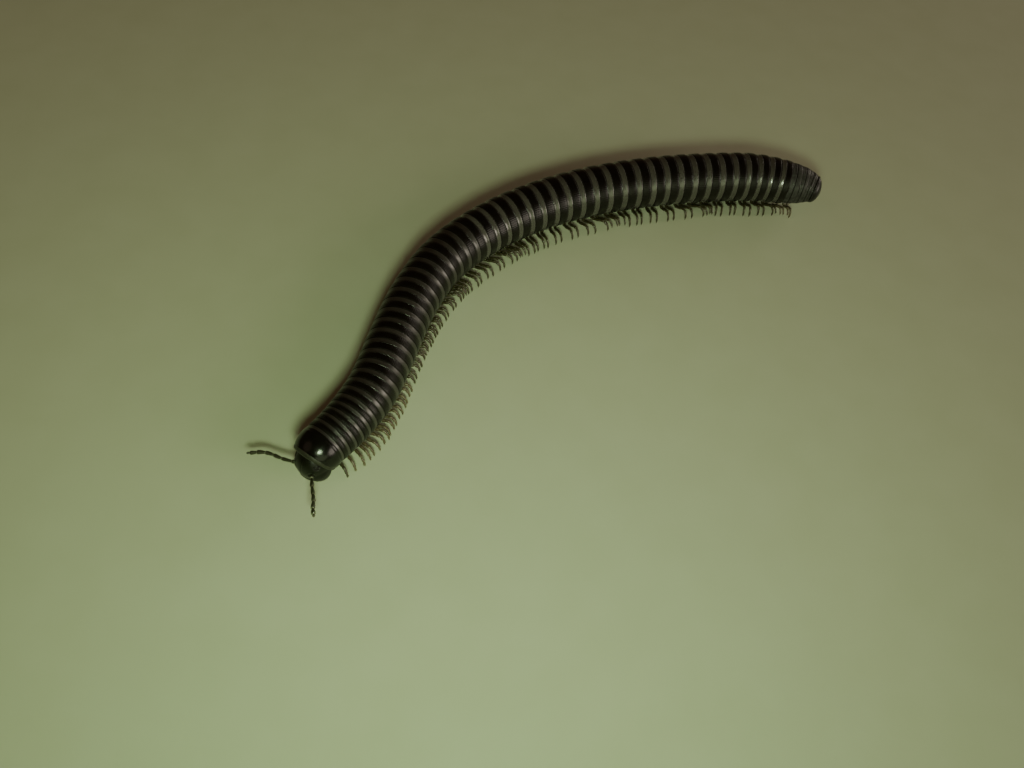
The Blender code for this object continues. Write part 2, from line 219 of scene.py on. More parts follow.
def chitin(name, dark, light, patch_mm, roughness, grain_mm, grain_depth, shine=0.5):
    """Clear-varnished chitin: clouds of colour, and a grain with some depth that blurs the gloss."""
    material, tree, shader = new_material(name, shine)
    shader.inputs["IOR"].default_value = CHITIN_IOR
    shader.inputs["Metallic"].default_value = 0.0
    place = add_node(tree, "ShaderNodeTexCoord")
    clouds = add_node(tree, "ShaderNodeTexNoise", {"Scale": 1 / (patch_mm * MM), "Detail": 4.0},
                      {"Vector": place.outputs["Object"]})
    stops = tuple(zip(CLOUD_EDGES, (linear(dark), linear(light))))
    tint = add_node(tree, "ShaderNodeValToRGB", {"stops": stops}, {"Fac": clouds.outputs["Fac"]})
    grain = add_node(tree, "ShaderNodeTexNoise", {"Scale": 1 / (grain_mm * MM), "Detail": 2.0},
                     {"Vector": place.outputs["Object"]})
    smooth, rough = (roughness * share for share in GLOSS_RANGE)
    gloss = add_node(tree, "ShaderNodeMapRange", {"To Min": smooth, "To Max": rough},
                     {"Value": grain.outputs["Fac"]})
    relief = add_node(tree, "ShaderNodeBump", {"Distance": grain_depth * MM},
                      {"Height": grain.outputs["Fac"]})
    tree.links.new(tint.outputs["Color"], shader.inputs["Base Color"])
    tree.links.new(gloss.outputs["Result"], shader.inputs["Roughness"])
    tree.links.new(relief.outputs["Normal"], shader.inputs["Normal"])
    return material


print("#808080, a middle grey on the screen, as linear light:", round(linear("#808080")[0], 3))

# %% Finishes of the rings
# Rear band: the thickest, blackest chitin, cast in fine grooves. It gives a brownish black with a dull
# sheen.
rear_band = chitin("grooved_black_chitin", "#050402", "#0a0803", 0.9, 0.29, 0.14, 0.003, 0.28)
# Front band: thin polished chitin that slides under its neighbour. It gives a neutral grey with bright
# glints.
front_band = chitin("smooth_grey_chitin", "#3a3935", "#42413c", 1.6, 0.25, 1.2, 0.001, 0.85)
# Front band of the first lengths: the front band's chitin painted a darker, browner grey, as painted shade
# over the front stretch of the body. It gives a brownish charcoal, and pale lines only where the light
# strikes it.
shaded_fore_band = chitin("charcoal_chitin_painted_shade", "#1b1916", "#24211d", 0.9, 0.34, 0.35, 0.0008, 0.85)
# Edges of the front band: the same grey chitin painted darker, as painted shade where the band meets the
# rim in front and the suture behind. It gives a darker line on both sides, so that the grey fades into the
# black.
front_edge_shade = chitin("grey_chitin_painted_edge_shade", "#161512", "#1c1b18", 0.9, 0.36, 0.35, 0.0008, 0.4)
# Tail rings: both bands of the last rings are painted nearly the same dull grey, as a painted sheen over
# the tail end.
tail_ring_sheen = chitin("grey_chitin_painted_sheen", "#262624", "#3d3d3b", 0.4, 0.42, 0.12, 0.004, 0.3)
# Suture: the folded groove between the bands, matt with dust. It gives a thin dark line with no glint.
suture = chitin("suture_chitin", "#0d0c08", "#15130d", 0.5, 0.65, 0.1, 0.004, 0.12)
# Rear rim: the band's thin free edge, worn and slightly see-through. It gives a line of dull brown.
rear_rim = chitin("worn_rim_chitin", "#100e08", "#19160f", 0.4, 0.5, 0.12, 0.004, 0.22)
for finish in (rear_band, front_band, shaded_fore_band, front_edge_shade, tail_ring_sheen, suture, rear_rim):
    print("ring finish:", finish.name)

# %% [markdown]
# ## Rings
#
# Each ring is two bands in one casting. The front band is smooth and a little thinner and flares
# towards the tail; a groove, the suture, parts it from the rear band, which stands proud, carries fine
# lengthwise grooves and ends in a rounded free edge over the next ring. One could model one ring and
# array it, but the rings change in length and thickness all along. Instead tables give one profile: how
# deep each row of points lies below the full radius, which finish starts there, and how deep its grooves
# are. A function lays the tables over any ring, and a whole length of trunk is turned from the rows of
# its rings. The slope of the front band matters most: it tips the gloss towards the head, which puts one
# bright glint on each band of the rear half.

# %% Profile of one ring
GROOVES = 84  # drawn about 0.25 mm apart, twice as coarse as real ones, so that they show
ROUND = 4 * GROOVES  # points around a ring, four to a groove
GROOVE_DEPTH = 0.028
INSIDE = 0.012  # the skin lies this far within the solids' outline
FIRST_GREY_RING = 49
# What the skin adds to the share of the solids' front band, the depth of all dips along the body, and how
# steeply front bands rise tailward, each by ring number
FRONT_BAND_MORE = {1: 0.13, 12: 0.07, 20: 0.0, 26: -0.02, 40: 0.0, 52: 0.0}
RELIEF = {1: 0.9, 4: 1.0, 24: 0.96, 36: 0.84, 47: 0.84, 52: 0.45}
FRONT_BAND_FLARE = {1: 0.5, 12: 0.6, 22: 0.9}
FULL_FLARE_WIDTH = 0.9  # a front band narrower than this flares less
# The edge finish is painted shade at both ends of the front band, and the grey finish is a painted sheen on
# the last rings.
FRONT, SUTURE, REAR, RIM, SHADED_EDGE, SHEEN_GREY = range(6)
# Front band: share of its width, and how far the row lies below the band's highest line at a full flare
FRONT_START, FRONT_START_FLARE, FRONT_DIP = 0.01, 0.13, 0.03
FRONT_ROWS = ((0.2, 0.145), (0.4, 0.14), (0.6, 0.096), (0.8, 0.042))
# Suture: distance from its crease, dip, finish that starts there and share of the grooves' depth
# The row just before the crease wears the painted edge shade.
CREASE_ROWS = (
    (-0.05, 0.03, SHADED_EDGE, 0), (-0.02, 0.055, SUTURE, 0), (0.01, 0.08, SUTURE, 0), (0.04, 0.073, SUTURE, 0),
    (0.08, 0.057, SUTURE, 0), (0.13, 0.038, REAR, 0.3), (0.22, 0.018, REAR, 1),
)
# Rear band: share of its width and dip
REAR_ROWS = ((0.45, 0.005), (0.68, 0.0))
# Free rear edge: distance from the ring's end, dip, finish and share of the grooves' depth
END_ROWS = ((-0.14, 0.005, REAR, 1), (-0.07, 0.02, RIM, 0.9), (-0.025, 0.05, RIM, 0.6), (0, 0.1, RIM, 0),
            (0, 0.2, SUTURE, 0))
GREY_GROOVES = 0.6  # grooves of the grey tail rings, as a share of the others'
RING_MIDDLES = [(low + high) / 2 for low, high in zip(RING_STARTS[:-1], RING_STARTS[1:])]


def ring_rows(ring):
    """Rows of one ring: distance, dip below the full radius, finish that starts there, depth of grooves."""
    start, end = RING_STARTS[ring - 1], RING_STARTS[ring]
    crease = start + (end - start) * (along(FRONT_BAND_SHARE, ring) + along(FRONT_BAND_MORE, ring))
    front, rear = crease - start, end - crease
    flare = min(1.0, front / FULL_FLARE_WIDTH) * along(FRONT_BAND_FLARE, ring)
    # The first row of every front band wears the painted edge shade.
    rows = [(start + FRONT_START, FRONT_DIP + FRONT_START_FLARE * flare, SHADED_EDGE, 0)]
    rows += [(start + share * front, FRONT_DIP + dip * flare, FRONT, 0) for share, dip in FRONT_ROWS]
    rows += [(crease + place, dip, finish, depth) for place, dip, finish, depth in CREASE_ROWS]
    rows += [(crease + share * rear, dip, REAR, 1) for share, dip in REAR_ROWS]
    rows += [(end + place, dip, finish, depth) for place, dip, finish, depth in END_ROWS]
    # The last rings wear the painted sheen grey in place of their own bands.
    if ring < FIRST_GREY_RING:
        return rows
    return [(distance, dip, SHEEN_GREY if finish in (FRONT, REAR, SHADED_EDGE) else finish, GREY_GROOVES * depth)
            for distance, dip, finish, depth in rows]


print("rows of points on one ring:", len(ring_rows(1)), "and points around it:", ROUND)


def skin_radius(distance):
    """Radius of the skin at a distance along the axis, with no steps between rings."""
    return along(RADIUS, np.interp(distance, RING_MIDDLES, range(1, RINGS + 1))) - INSIDE


# %% Skin of a length of trunk
NECK_LENGTH, NECK_DIP = 0.2, 0.25  # how far a length reaches under the one in front, and how deep
GROOVE_CREST = 3  # the higher, the narrower the groove and the broader the ridge
GROOVE_WAVES, GROOVE_FADE = 9, 0.2  # ridges wear down in this many places, by this share


def ring_skin(first, last):
    """Points, faces, finishes and skin coordinates, in turns and centimetres, of a length of trunk."""
    draw = random.Random(first)
    turns = np.linspace(0, 2 * math.pi, ROUND, endpoint=False)
    points, finishes, skin = [], [], []
    for ring in range(first, last + 1):
        rows = ring_rows(ring)
        # The neck under the length in front wears the painted edge shade.
        if ring == first:
            rows.insert(0, (rows[0][0] - NECK_LENGTH, NECK_DIP, SHADED_EDGE, 0))
        relief = along(RELIEF, ring)
        shift = draw.uniform(0, 4)
        ridge = 0.5 - 0.5 * np.cos(turns * GROOVES + shift)
        wear = 1 - GROOVE_FADE + GROOVE_FADE * np.sin(turns * GROOVE_WAVES + shift)
        ridge = (1 - ridge ** GROOVE_CREST) * wear
        for distance, dip, finish, depth in rows:
            place = np.array(axis_frame(distance))
            sizes = skin_radius(distance) - relief * (dip + GROOVE_DEPTH * depth * (1 - ridge))
            local = np.stack((0 * turns, sizes * np.sin(turns), sizes * np.cos(turns)), 1)
            points.append(local @ place[:3, :3].T + place[:3, 3])
            finishes.append(finish)
            skin.append(np.stack((turns / (2 * math.pi), 0 * turns + distance / 10), 1))
    faces = strip(len(points), ROUND)
    worn = np.repeat(finishes[:-1], ROUND).tolist() + [SUTURE, SUTURE]
    return np.concatenate(points), faces, worn, np.concatenate(skin)


print("points on the skin of the first ring:", len(ring_skin(1, 1)[0]))

# %% Rings of every length
# Finishes by number: the edge finish paints shade, and the tail finish paints a sheen.
RING_FINISHES = (suture, rear_band, rear_rim, front_edge_shade, tail_ring_sheen)
FIRST_PALE_RING = 25
LAST_RING_OF_LENGTH = [ring - 1 for ring in FIRST_RING_OF_LENGTH[1:]] + [RINGS]
for number, (first, last) in enumerate(zip(FIRST_RING_OF_LENGTH, LAST_RING_OF_LENGTH), start=1):
    points, faces, worn, skin = ring_skin(first, last)
    # Lengths in front of the middle wear the front band painted darker, as painted shade.
    finishes = (shaded_fore_band if last < FIRST_PALE_RING else front_band, *RING_FINISHES)
    rings = make_piece(f"rings_{number}", points, faces, finishes, worn, skin)
    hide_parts(f"trunk_{number}")
    print(f"rings_{number}: rings {first} to {last}, {len(faces)} faces")

# %% [markdown]
# ## Legs
#
# Most rings carry two pairs of legs. A leg has six articles and a claw: it leaves the belly close to the
# middle line, runs out under the body and then turns down. The feet don't stand in line: each is a
# little later in its step than the one behind, so waves run along the row, and where feet crowd together
# some are lifted. Two tables hold that wave. The solids hold the same tables and the same seeded numbers,
# so each leg here follows theirs point by point, but real legs are thinner than solids may be. A chain of
# cylinders would look like pipes, so a leg is one smooth tube that swells in every article and narrows at
# every joint.

# %% Sizes and wave of the legs
ONE_PAIR_RINGS = 3
LAST_RING_WITH_LEGS = 49
LEG_SEAT = 0.7
LEG_SEAT_SPREAD = {1: 0.22, 8: 0.2, 20: 0.18}
LEG_REACH = {1: 2.9, 3: 3.35, 5: 3.55, 8: 3.25, 14: 3.35, 18: 3.65, 23: 4.1, 34: 4.05, 39: 4.0, 42: 3.6,
             45: 3.6, 46: 3.3, 47: 2.8, 49: 2.6}
# Places along the body in ring pitches: where a leg comes out, and how far its foot stands behind that
LEG_LEAN = {1.5: 0.22, 2.5: 0.45, 3.5: 0.5, 4.5: 0.0, 5.5: 0.0, 5.9: 0.45, 10: 0.45, 12: 0.65, 15.5: 0.7,
            19: 0.5, 21: 0.2, 22.5: -0.1, 25: 0.1, 28: -0.15, 31: -0.45, 33: -0.15, 38: -0.1, 41: 0.12,
            44: 0.0, 46: 0.2, 48: 0.0, 50: -0.2}
FOOT_BACK = {1: -0.7, 3.5: -0.7, 5.5: 0.0, 8: -0.1, 10.5: -0.25, 13.6: 0.3, 15.4: -0.37, 18.5: -0.2,
             20.9: 0.6, 22.4: -0.05, 24.5: 0.12, 26.9: 0.85, 28.6: 0.1, 31.5: -0.05, 33.5: 0.3, 34.7: 0.86,
             36.4: 0.1, 38.3: -0.15, 39.9: 0.2, 41.6: 0.8, 43.4: -0.16, 45.5: 0.0, 47.5: 0.95, 50: 0.55}
LEG_LEAN_SHARES = (0.0, 0.65, 1.0, 1.0, 1.0)
FOOT_BACK_SHARES = (0.0, 0.1, 0.72, 1.0, 1.0)
LEG_VARIATION = 0.025
LEG_LIFT = 0.4
LIFTING_SLOPE = -0.15
SEED = 12
SLOPE_STEP = 0.2
LEG_RADIUS = {1: 0.18, 8: 0.19, 24: 0.2, 44: 0.2, 49: 0.17}
LEG_SIDES = 10
# The six articles and the claw: the share of the leg that each takes, and its thickness
LEG_ARTICLES = (
    (0.13, 1.2), (0.17, 1.18), (0.2, 1.1), (0.14, 0.98), (0.14, 0.85), (0.17, 0.66), (0.05, 0.25),
)


def foot_lift(place):
    """How high a foot is lifted: where feet stand less far back from leg to leg, it swings forward."""
    change = along(FOOT_BACK, place + SLOPE_STEP) - along(FOOT_BACK, place - SLOPE_STEP)
    slope = change / (2 * SLOPE_STEP)
    return LEG_LIFT if slope < LIFTING_SLOPE else 0.0


def belly_height(radius, out):
    """Height over the floor of the underside of a ring, at a distance out from the middle."""
    return AXIS_HEIGHT - math.sqrt(radius ** 2 - out ** 2)


def leg_line(ring, seat, side, draw):
    """A smooth line from the belly to the foot."""
    radius = along(RADIUS, ring)
    reach = along(LEG_REACH, ring) * draw.uniform(1 - LEG_VARIATION, 1 + LEG_VARIATION)
    lift = foot_lift(ring + seat)
    lean = along(LEG_LEAN, ring + seat)
    back = along(FOOT_BACK, ring + seat) + draw.uniform(-LEG_VARIATION, LEG_VARIATION)
    root, bend = 0.2 * radius, 0.42 * reach
    # How far out and how high the leg is inside the belly, where it bends, at the ankle and at the foot
    stations = (
        (root, belly_height(radius, root) + 0.4), (bend, belly_height(radius, bend) - 0.5),
        (0.8 * reach, 1.3), (0.97 * reach, 0.8), (reach, lift + 0.03),
    )
    start = RING_STARTS[ring - 1] + seat * (RING_STARTS[ring] - RING_STARTS[ring - 1])
    line = []
    for i, (out, height) in enumerate(stations):
        shift = along(PITCH, ring) * (lean * LEG_LEAN_SHARES[i] + back * FOOT_BACK_SHARES[i])
        line.append(axis_frame(start + shift) @ Vector((0, side * out, height - AXIS_HEIGHT)))
    return spline(line, 8)


middle_leg = leg_line(20, LEG_SEAT, 1, random.Random(SEED))
print(f"a leg of ring 20 is {lengths(middle_leg)[-1]:.1f} mm long")

# %% Shape of a limb
JOINT = 0.78  # how thick a limb is at a joint, as a share of its article
ARTICLE = ((0.04, JOINT), (0.2, 0.93), (0.5, 1.0), (0.82, 1.0), (0.97, JOINT))


def limb_rows(articles):
    """Places along a jointed limb, from 0 to 1, and its thickness at each."""
    places, radii = [], []
    start = 0.0
    for share, thickness in articles:
        for part, swell in ARTICLE:
            places.append(start + part * share)
            radii.append(thickness * swell)
        start += share
    return np.array(places) / start, np.array(radii)


def limb(line, places, radii, sides):
    """A tube along a line. Its cross-sections are carried along without twisting."""
    distances = lengths(line)
    spots = np.stack([np.interp(places * distances[-1], distances, line[:, i]) for i in range(3)], 1)
    directions = np.gradient(spots, axis=0)
    directions /= np.linalg.norm(directions, axis=1)[:, None]
    across = np.cross(directions[0], (0, 0, 1))
    turns = np.linspace(0, 2 * math.pi, sides, endpoint=False)[:, None]
    rows = []
    for spot, direction, radius in zip(spots, directions, radii):
        across = across - direction * (across @ direction)
        across /= np.linalg.norm(across)
        up = np.cross(across, direction)
        rows.append(spot + radius * (np.cos(turns) * across + np.sin(turns) * up))
    return np.concatenate(rows)


print("rows of points along a leg:", len(limb_rows(LEG_ARTICLES)[0]))

# %% [markdown]
# ### Finish of the legs
#
# A leg's chitin is thinner than the body's and lets some brown through, and its joints, where the
# articles fold, are paler. The tint follows the length of the leg, which lies in the second skin
# coordinate, so it stays on the leg from every side.

# %% Finish of the legs
LIMB_PATCH, LIMB_GRAIN, LIMB_GRAIN_DEPTH = 0.5, 0.1, 0.003
JOINT_RING_START, JOINT_RING_STRENGTH = 0.86, 0.7  # how near a joint the pale ring starts


def limb_chitin(name, root, tip, joint, roughness):
    """Satin chitin from root colour to tip colour, with a paler ring at every joint."""
    material = chitin(name, root, tip, LIMB_PATCH, roughness, LIMB_GRAIN, LIMB_GRAIN_DEPTH)
    tree = material.node_tree
    shader = tree.nodes["Principled BSDF"]
    skin = add_node(tree, "ShaderNodeUVMap", {"uv_map": "skin"})
    split = add_node(tree, "ShaderNodeSeparateXYZ", links={"Vector": skin.outputs["UV"]})
    base = add_node(tree, "ShaderNodeValToRGB", {"stops": ((0.1, linear(root)), (0.95, linear(tip)))},
                    {"Fac": split.outputs["Y"]})
    # The first skin coordinate rises from 0 at the middle of an article to 1 at its joints
    folds = add_node(tree, "ShaderNodeMapRange",
                     {"From Min": JOINT_RING_START, "From Max": 1.0, "To Max": JOINT_RING_STRENGTH},
                     {"Value": split.outputs["X"]})
    tint = add_node(tree, "ShaderNodeMix", {"data_type": "RGBA", 7: linear(joint)},
                    {0: folds.outputs["Result"], 6: base.outputs["Color"]})
    tree.links.new(tint.outputs[2], shader.inputs["Base Color"])
    return material


def limb_skin(articles, places, sides):
    """Skin coordinates of a limb: nearness to a joint, and the share of its length."""
    edges = np.concatenate(((0,), np.cumsum([share for share, thickness in articles])))
    edges = edges / edges[-1]
    nearness = []
    for place in places:
        article = min(np.searchsorted(edges, place, side="right") - 1, len(articles) - 1)
        middle = (edges[article] + edges[article + 1]) / 2
        nearness.append(abs(place - middle) / (edges[article + 1] - edges[article]) * 2)
    return np.repeat(np.stack((nearness, places), 1), sides, axis=0)


# Legs of the mid-body: satin olive-brown chitin, which gives thin dark limbs with paler joints.
dark_leg = limb_chitin("dark_leg_chitin", "#302c18", "#3b3620", "#524b30", 0.4)
# First and last legs: the same satin chitin in a lighter, warmer colour, which gives a warm tan.
tan_leg = limb_chitin("tan_leg_chitin", "#4b4230", "#594f39", "#6a6044", 0.42)
print("leg finishes:", dark_leg.name, tan_leg.name)

# %% Legs of every length
TAN_RINGS = ((2, 10), (48, 49))
leg_places, leg_radii = limb_rows(LEG_ARTICLES)
leg_uv = limb_skin(LEG_ARTICLES, leg_places, LEG_SIDES)
one_leg = strip(len(leg_places), LEG_SIDES)


def leg_seats(ring):
    """Where along a ring its legs leave it, as shares of its pitch."""
    spread = along(LEG_SEAT_SPREAD, ring)
    if ring > LAST_RING_WITH_LEGS:
        return ()
    if ring <= ONE_PAIR_RINGS:
        return (LEG_SEAT - spread,)
    return (LEG_SEAT - spread, LEG_SEAT + spread)


draw = random.Random(SEED)
leg_count = 0
for number, (first, last) in enumerate(zip(FIRST_RING_OF_LENGTH, LAST_RING_OF_LENGTH), start=1):
    points, faces, worn, skin = [], [], [], []
    for ring in range(first, last + 1):
        tan = any(low <= ring <= high for low, high in TAN_RINGS)
        for seat in leg_seats(ring):
            for side in (-1, 1):
                line = leg_line(ring, seat, side, draw)
                rows = limb(line, leg_places, leg_radii * along(LEG_RADIUS, ring), LEG_SIDES)
                rows[:, 2] = np.maximum(rows[:, 2], 0.0)
                base = len(points) * len(rows)
                faces += [tuple(base + i for i in face) for face in one_leg]
                worn += [int(tan)] * len(one_leg)
                points.append(rows)
                skin.append(leg_uv)
                leg_count += 1
    if points:
        legs = make_piece(f"legs_{number}", np.concatenate(points), faces, (dark_leg, tan_leg), worn,
                          np.concatenate(skin))
print(leg_count, "legs")

# %% [markdown]
# ## Collum
#
# The first plate behind the head is no ring but a shield: it arches over the neck and reaches down both
# sides in a rounded lobe. It is the smoothest plate on the animal, so it carries one large, sharp
# highlight. A paler rim runs round its front edge and another line along its rear edge. It is drawn as a
# patch of an egg, in rows from the front rim to the rear edge, and folded under itself to give it
# a real edge.

# %% Frame and finishes of the head end
HEAD_FRAME = axis_frame(0) @ Matrix.Rotation(math.pi, 4, "Z")
# Shield: thick, smooth chitin, polished by burrowing. It gives black with one clear highlight.
shield = chitin("polished_shield_chitin", "#070805", "#0c0d08", 1.2, 0.2, 0.5, 0.0015, 0.32)
# Shield's rim: thin and less tanned. It gives a soft olive-grey line along the front edge.
shield_rim = chitin("pale_rim_chitin", "#24261d", "#2f3127", 0.4, 0.36, 0.3, 0.002, 0.3)
print("head end finishes:", shield.name, shield_rim.name)

# %% Collum
COLLUM_CENTRE = 0.45
COLLUM_HALF_SIZES = (3.1, 2.68, 2.65)
COLLUM_FRONT = (2.78, 1.5)
COLLUM_SLOPE = math.tan(math.radians(28))
COLLUM_REAR = 0.0
COLLUM_LOW = math.radians(140)
COLLUM_CORNER = math.radians(26)
CORNER_POWER = 2.5  # the higher, the squarer the shield's lower corners
HALVINGS = 40  # steps of the search for the front edge
FULL_ROWS_WIDTH = 0.9  # where the shield is narrower than this, its edge rows are squeezed
COLLUM_COLUMNS = 161
MIDDLE_ROWS = 18
RIM_WIDTH = 0.36
REAR_WIDTH = 0.42


def egg_share(x):
    """Share of the collum egg's widest section that is left at a distance forward."""
    return math.sqrt(max(0.0, 1 - ((x - COLLUM_CENTRE) / COLLUM_HALF_SIZES[0]) ** 2))


def collum_front(turn):
    """How far forward the collum reaches at an angle from its top."""
    low, high = COLLUM_CENTRE, COLLUM_CENTRE + COLLUM_HALF_SIZES[0]
    for _ in range(HALVINGS):
        x = (low + high) / 2
        height = COLLUM_HALF_SIZES[2] * egg_share(x) * math.cos(turn)
        past = x > COLLUM_FRONT[0] + (height - COLLUM_FRONT[1]) * COLLUM_SLOPE
        low, high = (low, x) if past else (x, high)
    corner = max(0.0, (abs(turn) - COLLUM_LOW + COLLUM_CORNER) / COLLUM_CORNER)
    return COLLUM_REAR + (low - COLLUM_REAR) * math.sqrt(max(0.0, 1 - corner ** CORNER_POWER))


def collum_point(x, turn, inset):
    """A point of the collum, or of its inner side."""
    share = egg_share(x)
    y = (COLLUM_HALF_SIZES[1] * share - inset) * math.sin(turn)
    z = (COLLUM_HALF_SIZES[2] * share - inset) * math.cos(turn)
    return HEAD_FRAME @ Vector((x, -y, z))


# Rows from the inner side over the front rim, and then those of the rear edge: distance from that edge,
# how deep the row lies, and the finish that starts there
COLLUM_ROWS = (
    (0.35, 0.3, 1), (0.06, 0.16, 1), (0.0, 0.05, 1), (0.04, -0.005, 1), (0.13, -0.025, 1),
    (0.26, -0.015, 1), (RIM_WIDTH, 0.016, 0), (0.42, 0.016, 0), (0.52, 0.0, 0),
)
COLLUM_REAR_ROWS = ((REAR_WIDTH, 0.0, 0), (0.37, 0.03, 0), (0.3, 0.03, 0), (0.2, 0.015, 0),
                    (0.05, 0.02, 0), (0.0, 0.07, 1), (0.0, 0.2, 1))
collum_turns = np.linspace(-COLLUM_LOW, COLLUM_LOW, COLLUM_COLUMNS)
points = []
for turn in collum_turns:
    front_x = collum_front(turn)
    width = front_x - COLLUM_REAR
    squeeze = min(1.0, width / FULL_ROWS_WIDTH)
    column = [(front_x - place * squeeze, inset * squeeze) for place, inset, finish in COLLUM_ROWS]
    ahead = front_x - COLLUM_ROWS[-1][0] * squeeze
    behind = COLLUM_REAR + COLLUM_REAR_ROWS[0][0] * squeeze
    for i in range(1, MIDDLE_ROWS):
        column.append((ahead + (behind - ahead) * i / MIDDLE_ROWS, 0.0))
    column += [(COLLUM_REAR + place * squeeze, inset * squeeze)
               for place, inset, finish in COLLUM_REAR_ROWS]
    points += [collum_point(x, turn, inset) for x, inset in column]
rows = len(column)
row_finishes = ([row[2] for row in COLLUM_ROWS] + [0] * (MIDDLE_ROWS - 1)
                + [row[2] for row in COLLUM_REAR_ROWS])
faces = strip(COLLUM_COLUMNS, rows)
worn = row_finishes * (COLLUM_COLUMNS - 1) + [1, 1]
collum = make_piece("collum_shield", points, faces, (shield, shield_rim), worn)
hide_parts("collum")
print("collum:", rows, "rows,", len(faces), "faces")

# %% [markdown]
# ## Head
#
# The head is a rounded capsule bent down in front of the collum. The bases of the jaws bulge on both
# sides, a broad lip plate with a small notch closes the mouth in front, and a plate of fused lower
# mouthparts closes it from below. Rounded forms like these melt into one another, so they are made as
# egg shapes, fused by a voxel remesh and smoothed. Then single points are moved in code, as a sculptor
# would push clay, to draw the fine lines: the seam down the middle, the mouth and the creases.

# %% Fused forms
def egg(work, place, centre, half_sizes, narrow=0.0, segments=48):
    """Adds an egg to a mesh. It narrows by the given share towards its lower pole."""
    made = bmesh.ops.create_uvsphere(work, u_segments=segments, v_segments=segments // 2, radius=1)
    for point in made["verts"]:
        width = 1 - narrow * max(0, -point.co.z) ** 1.5
        x, y, z = point.co
        local = Vector(centre) + Vector((x * half_sizes[0], y * half_sizes[1] * width, z * half_sizes[2]))
        point.co = place @ local


def egg_mesh(eggs):
    """A mesh of all the eggs, which still lie in one another."""
    work = bmesh.new()
    for form in eggs:
        egg(work, *form)
    mesh = bpy.data.meshes.new("eggs")
    work.to_mesh(mesh)
    work.free()
    return mesh


def fused(eggs, voxel, smoothing):
    """One smooth surface round all the eggs: its points, their normals and its faces, in millimetres."""
    item = bpy.data.objects.new("eggs", egg_mesh(eggs))
    bpy.context.scene.collection.objects.link(item)
    melt = item.modifiers.new("melt", "REMESH")
    melt.mode = "VOXEL"
    melt.voxel_size = voxel
    relax = item.modifiers.new("relax", "SMOOTH")
    relax.iterations = smoothing
    relax.factor = 0.5
    bpy.context.view_layer.update()
    made = item.evaluated_get(bpy.context.evaluated_depsgraph_get()).to_mesh()
    points = np.array([point.co for point in made.vertices])
    normals = np.array([point.normal for point in made.vertices])
    faces = [tuple(face.vertices) for face in made.polygons]
    bpy.data.objects.remove(item, do_unlink=True)
    return points, normals, faces


def mirrored(centre, side):
    """A place on the left side, for 1, or the same place on the right side, for -1."""
    return (centre[0], side * centre[1], centre[2])


def local_points(place, points):
    """Points seen from a frame."""
    back = np.array(place.inverted())
    return points @ back[:3, :3].T + back[:3, 3]

# %% Head capsule
CAPSULE = ((1.95, 0, -0.9), (1.75, 1.97, 2.2), 0.12)
JAW_BASE = ((1.98, 1.27, -1.75), (1.12, 0.84, 1.05))
BROW_PLATE = ((2.5, 0, -1.95), (1.08, 1.4, 1.05))
LOWER_LIP = ((1.65, 0, -2.7), (1.0, 0.9, 0.42))
CHEEK = ((2.1, 0.9, -1.5), (1.3, 1.22, 1.35))
ANTENNA_ROOTS = {1: (3.3, 1.15, -0.65), -1: (3.2, -1.2, -0.6)}
VOXEL = 0.06
HEAD_SMOOTHING = 14
forms = [(HEAD_FRAME, *CAPSULE)]
forms += [(HEAD_FRAME, mirrored(JAW_BASE[0], side), JAW_BASE[1]) for side in (-1, 1)]
forms += [(HEAD_FRAME, mirrored(CHEEK[0], side), CHEEK[1]) for side in (-1, 1)]
forms += [(HEAD_FRAME, *BROW_PLATE), (HEAD_FRAME, *LOWER_LIP)]
head_points, head_normals, head_faces = fused(forms, VOXEL, HEAD_SMOOTHING)
print("fused head:", len(head_points), "points")

# %% Lines and pits of the head
x, y, z = local_points(HEAD_FRAME, head_points).T


def groove(distance, width, depth):
    """Depth of a rounded groove at a distance from its middle line."""
    return depth * np.exp(-(distance / width) ** 2)


ahead = x > 1.6  # the face, which the seam and the brow line don't leave
push = np.zeros(len(x))
# Midline seam of the brow
push -= groove(y, 0.05, 0.035) * ahead * (z > -1.3)
# Crease round the base of each jaw, at a distance that is a share of the jaw's size at first
JAW_CREASE = (1.17, 0.93, 1.12)
JAW_SIZE = 0.9
from_jaw = (np.stack((x, np.abs(y), z)).T - JAW_BASE[0]) / JAW_CREASE
jaw = np.linalg.norm(from_jaw, axis=1)
push -= groove((jaw - 1.0) * JAW_SIZE, 0.08, 0.01)
# Split between the two parts of a jaw
jaw_split = z + 1.35 + 0.25 * (x - 1.85)
push -= groove(jaw_split, 0.05, 0.018) * (np.abs(y) > 1.45) * (x < 2.8)
# Mouth, with the notch of the lip over its middle, and the line between brow and lip plate
mouth = (z + 2.62) + 0.12 * np.abs(y) ** 2
push -= groove(mouth, 0.06, 0.12) * (x > 1.9) * (np.abs(y) < 1.15)
notch = np.sqrt((y / 0.2) ** 2 + ((z + 2.45) / 0.22) ** 2)
push -= groove(notch, 1.0, 0.12) * (x > 2.4)
push -= groove(z + 1.75 + 0.1 * y ** 2, 0.05, 0.025) * ahead * (np.abs(y) < 1.1)
# Sockets of the antennae: a pit with a low wall round it
for root in ANTENNA_ROOTS.values():
    away = np.linalg.norm(np.stack((x, y, z), 1) - root, axis=1)
    push -= groove(away, 0.3, 0.14)
    push += groove(away - 0.42, 0.07, 0.04)
# Row of sensing pits over the lip
for pit in (-0.75, -0.38, 0.0, 0.38, 0.75):
    away = np.sqrt((y - pit) ** 2 + (z + 2.2) ** 2)
    push -= groove(away, 0.045, 0.05) * (x > 2.4)
head_points = head_points + head_normals * push[:, None]
print(f"deepest groove of the head: {-push.min():.2f} mm")

